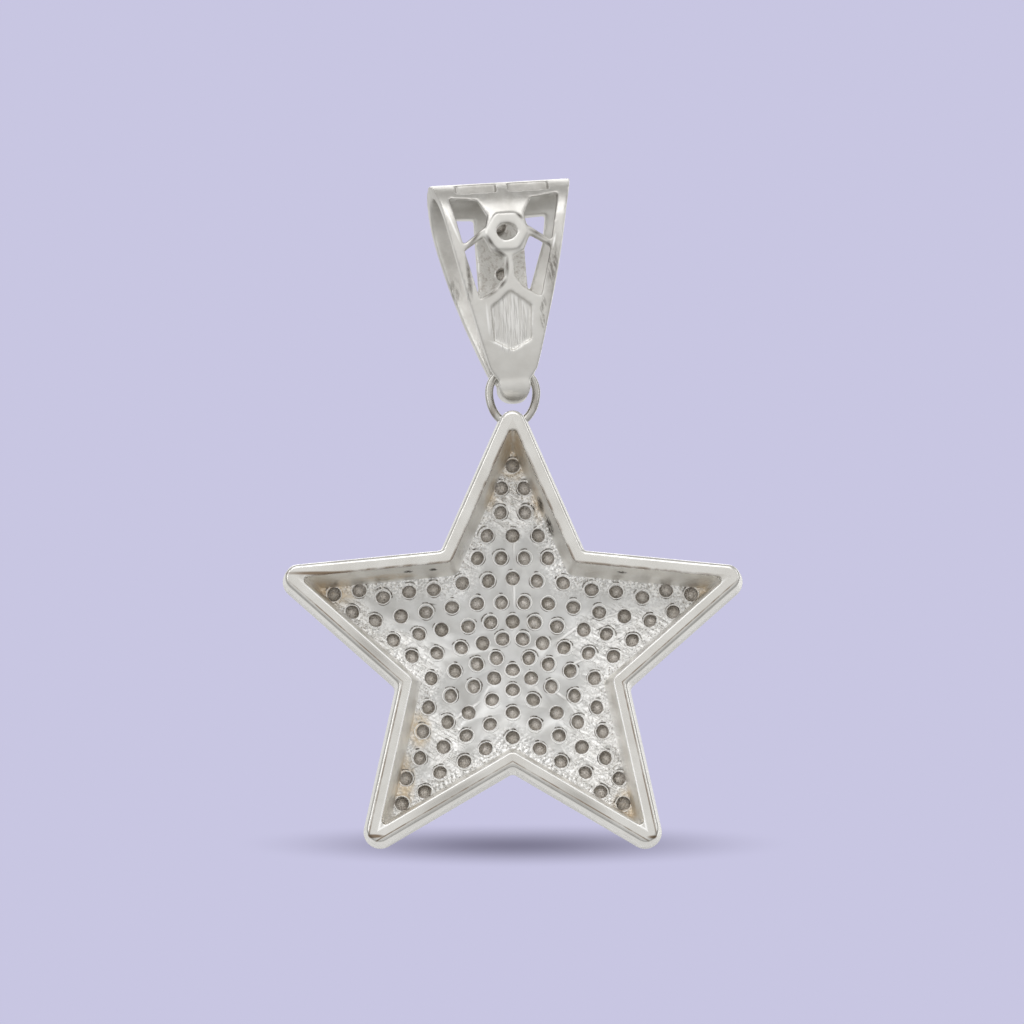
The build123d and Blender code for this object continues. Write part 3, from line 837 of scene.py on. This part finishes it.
# %% [markdown]
# ## The stones
# A small brilliant has a table, a crown of eight kites with star and girdle facets, and a pavilion
# that comes to a point. Its corners lie on a few rings, and the tightest skin round those corners is
# exactly the cut stone. Each stone is turned a little differently, as a setter leaves them.

# %% Cut one brilliant
STONE_RINGS = [
    (0.29, 0.165, 8, 0.0),
    (0.408, 0.098, 8, 0.5),
    (0.5, 0.015, 16, 0.0),
    (0.5, -0.015, 16, 0.0),
    (0.15, -0.325, 8, 0.5),
]
POINT_SHARE = 0.435
SAME_FACET = 1.0
FACET_DARK_REFLECTION = (0.42, 0.42, 0.43, 1)
FACET_GLINT = (0.97, 0.97, 0.96, 1)


def brilliant(diameter, name):
    """A cut stone: girdle round the origin, table along +Z. Each facet gets its own shade."""
    bm = bmesh.new()
    for share, height, sides, turn in STONE_RINGS:
        radius = share * diameter * MM
        ring = bmesh.ops.create_circle(bm, segments=sides, radius=radius, cap_ends=False)["verts"]
        turned = Matrix.Rotation(radians(turn * 360 / sides), 3, "Z")
        bmesh.ops.rotate(bm, verts=ring, matrix=turned)
        bmesh.ops.translate(bm, verts=ring, vec=(0, 0, height * diameter * MM))
    bm.verts.new((0, 0, -POINT_SHARE * diameter * MM))
    hull = bmesh.ops.convex_hull(bm, input=bm.verts)
    inside = [part for part in hull["geom_interior"] if isinstance(part, bmesh.types.BMVert)]
    bmesh.ops.delete(bm, geom=inside, context="VERTS")
    bmesh.ops.dissolve_limit(bm, angle_limit=radians(SAME_FACET), verts=bm.verts, edges=bm.edges)
    bmesh.ops.recalc_face_normals(bm, faces=bm.faces)
    return mesh_of(bm, name)


# %% Painted glints and dark reflections of the facets
def shade_facets(bm, seed):
    """Gives each facet a number from 0 to 1, for the painted glint or dark reflection it shows."""
    layer = bm.faces.layers.float.new("painted_flash")
    for index, face in enumerate(bm.faces):
        face[layer] = noise.cell(Vector((index * 0.731 + seed, index * 1.37, seed * 3.1)))


small_brilliant = brilliant(STONE_DIAMETER, "small_brilliant")
print("facets on a stone:", len(small_brilliant.polygons))


# %% The finish of the stones
def stone_finish(name):
    """Clear stones: facets in front painted as glints or dark reflections, a dull grey-beige underside
    over the closed backs.
    """
    net, shader = new_finish(name, 0.0)
    where = millimetres(net)
    painted_flash = add_node(net, "ShaderNodeAttribute", {}, attribute_name="painted_flash").outputs["Fac"]
    behind = facing_back(net, "Normal", -0.1, 0.15)
    # Painted glints and dark reflections, one per facet
    front = tint(net, painted_flash, FACET_DARK_REFLECTION, FACET_GLINT)
    clouds = grain(net, where, 0.35, 3)
    varied = spread(net, grain(net, where, 1.3, 1), 0.32, 0.5)
    under = tint(net, varied, STONE_BACK, STONE_BACK_LIGHT)
    grit = spread(net, grain(net, where, 0.11, 3, 0.7), 0.52, 0.64)
    under = tint(net, product(net, grit, 0.5), under, BROWN)
    gloss = spread(net, clouds, 0.3, 0.7, 0.04, 0.14)
    roughness = strongest(net, [gloss, product(net, behind, 0.7)])
    shader.inputs["IOR"].default_value = 2.1
    crumbs = product(net, grain(net, where, 0.16, 3, 0.65), behind)
    normal = relief(net, crumbs, 0.16, relief(net, clouds, 0.002))
    return coated(net, shader, tint(net, behind, front, under), roughness, normal)


stone_clear = stone_finish("stone_clear")

# %% Set the stones of the star
bm = bmesh.new()
crown_depth = HOLLOW_DEPTH + PLATE_THICKNESS - BORDER_RAISE + CROWN_RISE
for index, (spot_at, outward, slope) in enumerate(seats):
    point, facing = plate_point(spot_at, outward, slope, crown_depth)
    stamp(bm, small_brilliant, seat_frame(point - facing * STONE_SINK * MM, facing, index * 1.9))
shade_facets(bm, 1.0)
star_brilliants = hand_over(bm, "star_brilliants", "star", [stone_clear])
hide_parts("star_stones")

# %% [markdown]
# ## The beads that hold the stones
# Pave setting has no claws. The setter raises little beads of metal from the plate between the
# stones, and each bead holds two or three of them. A bead is a dome, spun from a quarter circle.

# %% One bead
BEAD_RADIUS = 0.13
BEAD_SIDES = 8
BEAD_PROFILE = [(1.0, -0.6), (0.95, 0.35), (0.62, 0.8), (0.0, 1.0)]


def bead_mesh(radius):
    """A dome with its foot at the origin and its top along +Z."""
    bm = bmesh.new()
    chain = [bm.verts.new((out * radius * MM, 0, up * radius * MM)) for out, up in BEAD_PROFILE]
    edges = [bm.edges.new(pair) for pair in zip(chain, chain[1:])]
    spin_round(bm, chain, edges, 360, BEAD_SIDES)
    bmesh.ops.remove_doubles(bm, verts=bm.verts, dist=0.001 * MM)
    foot = [edge for edge in bm.edges if edge.is_boundary]
    bmesh.ops.contextual_create(bm, geom=foot)
    bmesh.ops.recalc_face_normals(bm, faces=bm.faces)
    return mesh_of(bm, "bead")


# %% Where the beads go: round each stone, where no other stone is in the way
BEAD_GAP = 0.075
BEAD_SPACING = 0.42
BEAD_INSET = 0.93
BEAD_TURN = 15
TOUCH = 0.005
bead_reach = STONE_DIAMETER / 2 + BEAD_GAP
bead_spots = []
for (x, y), outward, slope in seats:
    for turn in range(0, 360, BEAD_TURN):
        step_x, step_y = on_spoke(bead_reach, turn + outward)
        bead_x, bead_y = x + step_x, y + step_y
        to_stones = [hypot(bead_x - at[0], bead_y - at[1]) for at, *_ in seats]
        to_beads = [hypot(bead_x - at[0], bead_y - at[1]) for at, *_ in bead_spots]
        clear = min(to_stones) > bead_reach - TOUCH and all(gap > BEAD_SPACING for gap in to_beads)
        if clear and inset_of(bead_x + STAR_CENTRE.x, bead_y + STAR_CENTRE.z) > BEAD_INSET:
            bead_spots.append(((bead_x, bead_y), outward, slope))
print(len(bead_spots), "beads")

bead = bead_mesh(BEAD_RADIUS)
bm = bmesh.new()
for index, (spot_at, outward, slope) in enumerate(bead_spots):
    point, facing = plate_point(spot_at, outward, slope, crown_depth)
    stamp(bm, bead, seat_frame(point, facing, index * 0.7))
bead_silver = polished("bead_silver", 0.12, 0.22)
hand_over(bm, "setting_beads", "star", [bead_silver], sharp=70)

# %% [markdown]
# ## The bail
# The bail is one casting, folded over at the top. Its openings are soft and rounded from tumbling,
# too soft for a bevel on so many meeting edges. So the copy is rebuilt from small even cells, as if
# cast afresh, and smoothed a little, which rounds every edge by the same amount.

# %% Cast the bail afresh in small cells
BAIL_CELL = 0.082
SOFTEN_PASSES = 5
SOFTEN_SHARE = 0.5
bail_form = add_object("bail_form", mesh_of(merged_copy("bail"), "bail_mesh"))
cells = bail_form.modifiers.new("cells", "REMESH")
cells.mode = "VOXEL"
cells.voxel_size = BAIL_CELL * MM
cells.use_smooth_shade = True
graph = bpy.context.evaluated_depsgraph_get()
recast = bpy.data.meshes.new_from_object(bail_form.evaluated_get(graph))
bm = bmesh.new()
bm.from_mesh(recast)
for _ in range(SOFTEN_PASSES):
    bmesh.ops.smooth_vert(
        bm, verts=bm.verts, factor=SOFTEN_SHARE, use_axis_x=True, use_axis_y=True, use_axis_z=True
    )
bpy.data.objects.remove(bail_form)
bpy.data.meshes.remove(recast)
print(len(bm.verts), "points in the bail")

# %% [markdown]
# The bail is polished outside. Inside, the front plate keeps a pebbled skin, and the six-sided
# panel on the back shows upright brush lines. Dark polish is left in the corners by the rails, and
# thin dark lines and painted highlights follow the edges of the openings. Painted shade darkens
# its left flank, a rail on the right, the two slots at the top and the top band.

# %% The finish of the bail
BAIL_LEAN = 4.1
RAIL_LEAN = 14
PLATE_INSIDE = Stain(centre=(-0.35, -2.6, -5.2), half=(2.1, 2.2, 5.6))
BAIL_PANEL = Stain(centre=(-0.63, 2.3, -8.8), half=(1.5, 1.3, 2.2))
RAIL_STAINS = [
    Stain(centre=(-3.45, 3.0, -4.97), half=(0.45, 1.4, 1.7)),
    Stain(centre=(3.1, -0.5, -6.2), half=(0.8, 3.4, 1.5)),
    Stain(centre=(2.0, 2.9, -6.0), half=(0.35, 1.0, 2.0)),
    Stain(centre=(-2.9, 3.0, -8.4), half=(0.3, 1.2, 1.4)),
]
# Painted shade: the left flank, a rail on the right, the two slots at the top and the top band
BAIL_SHADES = [
    Stain(centre=(3.6, -0.5, -5.5), half=(1.6, 3.4, 7.0)),
    Stain(centre=(-3.5, 2.6, -5.0), half=(0.75, 1.6, 4.2)),
    Stain(centre=(1.7, 2.0, 0.1), half=(1.6, 0.9, 0.9)),
    Stain(centre=(-1.8, 2.0, 0.3), half=(1.7, 0.9, 0.9)),
    Stain(centre=(0.2, 1.2, -0.2), half=(8.0, 4.2, 2.2)),
]
BAIL_DARK_LINES = [
    Stroke(middle=(0.87, -2.31), length=1.2, rise=104),
    Stroke(middle=(0.62, -3.70), length=1.2, rise=59),
    Stroke(middle=(-0.05, -4.42), length=1.3, rise=30),
    Stroke(middle=(-0.50, -5.31), length=1.6, rise=90),
    Stroke(middle=(-0.22, -6.45), length=1.1, rise=129),
    Stroke(middle=(0.60, -7.15), length=1.5, rise=149),
    Stroke(middle=(-2.47, -3.11), length=1.7, rise=29),
    Stroke(middle=(-3.22, -4.11), length=1.2, rise=87),
    Stroke(middle=(-1.34, -1.98), length=0.7, rise=37),
    Stroke(middle=(2.02, -5.97), length=3.4, rise=81),
    Stroke(middle=(1.59, -3.44), length=1.9, rise=131),
]
# Painted highlights along the edges of the openings
BAIL_HIGHLIGHT_LINES = [
    Stroke(middle=(3.05, -2.71), length=2.9, rise=67),
    Stroke(middle=(1.82, -5.57), length=2.9, rise=74),
    Stroke(middle=(-3.59, -3.58), length=1.2, rise=102),
    Stroke(middle=(0.77, -8.77), length=2.5, rise=84),
    Stroke(middle=(0.01, -10.37), length=1.9, rise=20),
    Stroke(middle=(-1.54, -10.33), length=1.5, rise=151),
    Stroke(middle=(-2.14, -8.90), length=2.0, rise=94),
]
BAIL_BACK_Y = 3.4


def bail_finish(name):
    """Satin silver outside, pebbled inside, brushed in the panel, with painted shade, dark edge lines
    and painted highlights.
    """
    net, shader = new_finish(name)
    where = millimetres(net)
    clouds = grain(net, where, 1.8, 4)
    base = tint(net, spread(net, clouds, 0.35, 0.7), SILVER, SILVER_DULL)
    ragged = spread(net, grain(net, where, 0.5, 4, 0.7), 0.35, 0.6, 0.5, 0.85)
    # Painted shade from the chart above
    shades = product(net, one_of(net, BAIL_SHADES), ragged)
    base = tint(net, shades, base, SHADE)
    backwards = facing_back(net, "True Normal", 0.1, 0.4)
    inner = product(net, spot(net, *PLATE_INSIDE, 0.85), backwards)
    lumps = product(net, pebbles(net, where, 0.11), inner)
    speckle = spread(net, grain(net, where, 0.3, 5, 0.75), 0.5, 0.62, 0.0, 0.4)
    base = tint(net, product(net, speckle, inner), base, BROWN)
    upright = millimetres(net, turn=(0, radians(-BAIL_LEAN), 0), stretch=(1, 0.05, 0.05))
    lines = spread(net, grain(net, upright, 0.1, 1), 0.42, 0.6)
    brushed = product(net, lines, spot(net, *BAIL_PANEL, 0.85))
    base = tint(net, product(net, brushed, 0.5), base, LIP_WHITE)
    by_rails = millimetres(net, turn=(0, radians(-RAIL_LEAN), 0), stretch=(1.6, 0.4, 0.4))
    streaks = spread(net, grain(net, by_rails, 0.3, 4, 0.7), 0.46, 0.56)
    mottle = product(net, streaks, one_of(net, RAIL_STAINS), 0.6)
    base = tint(net, mottle, base, SOOT)
    back = (0, BAIL_BACK_Y, 0)
    # Painted highlights along the openings
    highlight_lines = stroked(net, BAIL_HIGHLIGHT_LINES, back, 0.1)
    base = tint(net, highlight_lines, base, LIP_WHITE)
    dark_lines = product(net, stroked(net, BAIL_DARK_LINES, back, 0.17), ragged)
    base = tint(net, dark_lines, base, SOOT)
    roughness = spread(net, clouds, 0.3, 0.7, 0.34, 0.48)
    skin = relief(net, brushed, 0.03, relief(net, lumps, 0.02))
    normal = relief(net, grain(net, where, 0.8, 2), 0.012, skin)
    return coated(net, shader, base, roughness, normal)


bail_silver = bail_finish("bail_silver")
bail_casting = hand_over(bm, "bail_casting", "bail", [bail_silver], sharp=80)
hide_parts("bail")

# %% [markdown]
# ## The stones of the bail
# Six stones run down the front strip and grow towards the top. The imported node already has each
# of them in its place, so each stone's middle, size and facing are read from there.


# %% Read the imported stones
def stone_points(node):
    """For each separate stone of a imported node, its corners and the corner where most facets meet."""
    bm = merged_copy(node)
    bmesh.ops.dissolve_limit(bm, angle_limit=radians(SAME_FACET), verts=bm.verts, edges=bm.edges)
    left = set(bm.verts)
    found = []
    while left:
        group, queue = [], [left.pop()]
        while queue:
            vert = queue.pop()
            group.append(vert)
            for edge in vert.link_edges:
                other = edge.other_vert(vert)
                if other in left:
                    left.remove(other)
                    queue.append(other)
        lowest = max(group, key=lambda vert: len(vert.link_edges))
        found.append((lowest.co.copy(), [vert.co.copy() for vert in group if vert is not lowest]))
    bm.free()
    return sorted(found, key=lambda stone: stone[0].z)


# %% Set the bail's stones
bm = bmesh.new()
for lowest, others in stone_points("bail_stones"):
    axis = (sum(others, Vector()) / len(others) - lowest).normalized()
    width = 2 * max((corner - lowest).cross(axis).length for corner in others)
    stone = brilliant(width / MM, "bail_brilliant")
    stamp(bm, stone, seat_frame(lowest + axis * width * POINT_SHARE, axis, 0.3))
    print(f"stone {width / MM:.2f} mm, its point at height {lowest.z / MM:.1f} mm")
shade_facets(bm, 2.0)
bail_brilliants = hand_over(bm, "bail_brilliants", "bail", [stone_clear])
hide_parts("bail_stones")

# %% [markdown]
# ## The studio
# The pendant was photographed on lavender paper in soft light. The paper is a wide hollow ball that
# only the camera sees, because in the photograph no lavender shows in the silver. What the metal
# does reflect is a neutral room and large soft lights.

# %% The paper
PAPER = (0.578, 0.565, 0.760, 1)
SHADOW = (0.212, 0.203, 0.290, 1)
SHADOW_POOL = Stain(centre=(-1.4, -900, 30.6), half=(57, 60, 4.6))
PAPER_REACH = 0.9
bm = bmesh.new()
bmesh.ops.create_uvsphere(bm, u_segments=48, v_segments=24, radius=PAPER_REACH)
bmesh.ops.reverse_faces(bm, faces=bm.faces)
mesh = mesh_of(bm, "paper")
mesh.shade_smooth()
paper = add_object("paper", mesh)
paper_finish = bpy.data.materials.new("paper_finish")
paper_finish.use_nodes = True
paper_finish.node_tree.nodes.clear()
pool = spot(paper_finish, *SHADOW_POOL, 0.0)
pool.node.interpolation_type = "SMOOTHSTEP"
dimmed = tint(paper_finish, pool, PAPER, SHADOW)
glow = add_node(paper_finish, "ShaderNodeEmission", {"Color": dimmed, "Strength": 1.0})
add_node(paper_finish, "ShaderNodeOutputMaterial", {"Surface": glow.outputs[0]})
mesh.materials.append(paper_finish)
paper.visible_glossy = False
paper.visible_diffuse = False
paper.visible_shadow = False
paper.visible_transmission = False

# %% The camera, looking up a little at the hanging pendant
CAMERA_RISE = -7.5
CAMERA_REACH = 0.45
FRAME_WIDTH = 0.06758
SENSOR_WIDTH = 36
target = Vector((-0.000815, 0, -0.02117))
away = Vector((0, cos(radians(CAMERA_RISE)), sin(radians(CAMERA_RISE))))
camera_data = bpy.data.cameras.new("camera")
camera_data.sensor_width = SENSOR_WIDTH
camera_data.lens = SENSOR_WIDTH * CAMERA_REACH / FRAME_WIDTH
camera_data.clip_start = 0.01
camera = add_object("camera", camera_data)
camera.location = target + away * CAMERA_REACH
camera.rotation_euler = away.to_track_quat("Z", "Y").to_euler()
bpy.context.scene.camera = camera


# %% The lights
LIGHT_REACH = 0.5


def soft_light(name, azimuth, elevation, size, power):
    """An oblong soft light that looks at the pendant from an azimuth and an elevation, in degrees."""
    data = bpy.data.lights.new(name, "AREA")
    data.shape = "RECTANGLE"
    data.size, data.size_y = size
    data.energy = power
    way = Vector((
        cos(radians(elevation)) * sin(radians(azimuth)),
        cos(radians(elevation)) * cos(radians(azimuth)),
        sin(radians(elevation)),
    ))
    light = add_object(name, data)
    light.location = target + way * LIGHT_REACH
    light.rotation_euler = way.to_track_quat("Z", "Y").to_euler()


soft_light("top_light", 10, 48, (0.45, 0.32), 0.55)
soft_light("left_light", 62, 14, (0.16, 0.45), 0.28)
soft_light("right_light", -66, 20, (0.12, 0.45), 0.20)
soft_light("low_light", 0, -76, (0.6, 0.2), 0.10)
soft_light("front_top_light", 170, 35, (0.35, 0.25), 0.45)
soft_light("front_side_light", 215, 10, (0.12, 0.45), 0.22)

# %% The room that the silver reflects: lighter before, behind and above, darker to the sides
ROOM_DARK = 0.42
ROOM_BACK = 0.46
ROOM_TOP = 0.10
ROOM_LEAST = ROOM_DARK * 0.75
ROOM_TINT = (1.0, 0.995, 0.98, 1)
world = bpy.data.worlds.new("room")
world.use_nodes = True
way = add_node(world, "ShaderNodeTexCoord", {}).outputs["Generated"]
axes = add_node(world, "ShaderNodeSeparateXYZ", {0: way}).outputs
sideless = sum_up(world, "MULTIPLY_ADD", sum_up(world, "ABSOLUTE", axes["Y"]), ROOM_BACK, ROOM_DARK)
upward = sum_up(world, "MULTIPLY_ADD", axes["Z"], ROOM_TOP, sideless)
room = world.node_tree.nodes["Background"]
plug(world, room.inputs["Color"], ROOM_TINT)
plug(world, room.inputs["Strength"], sum_up(world, "MAXIMUM", upward, ROOM_LEAST))
bpy.context.scene.world = world
bpy.context.scene.view_settings.view_transform = "Standard"
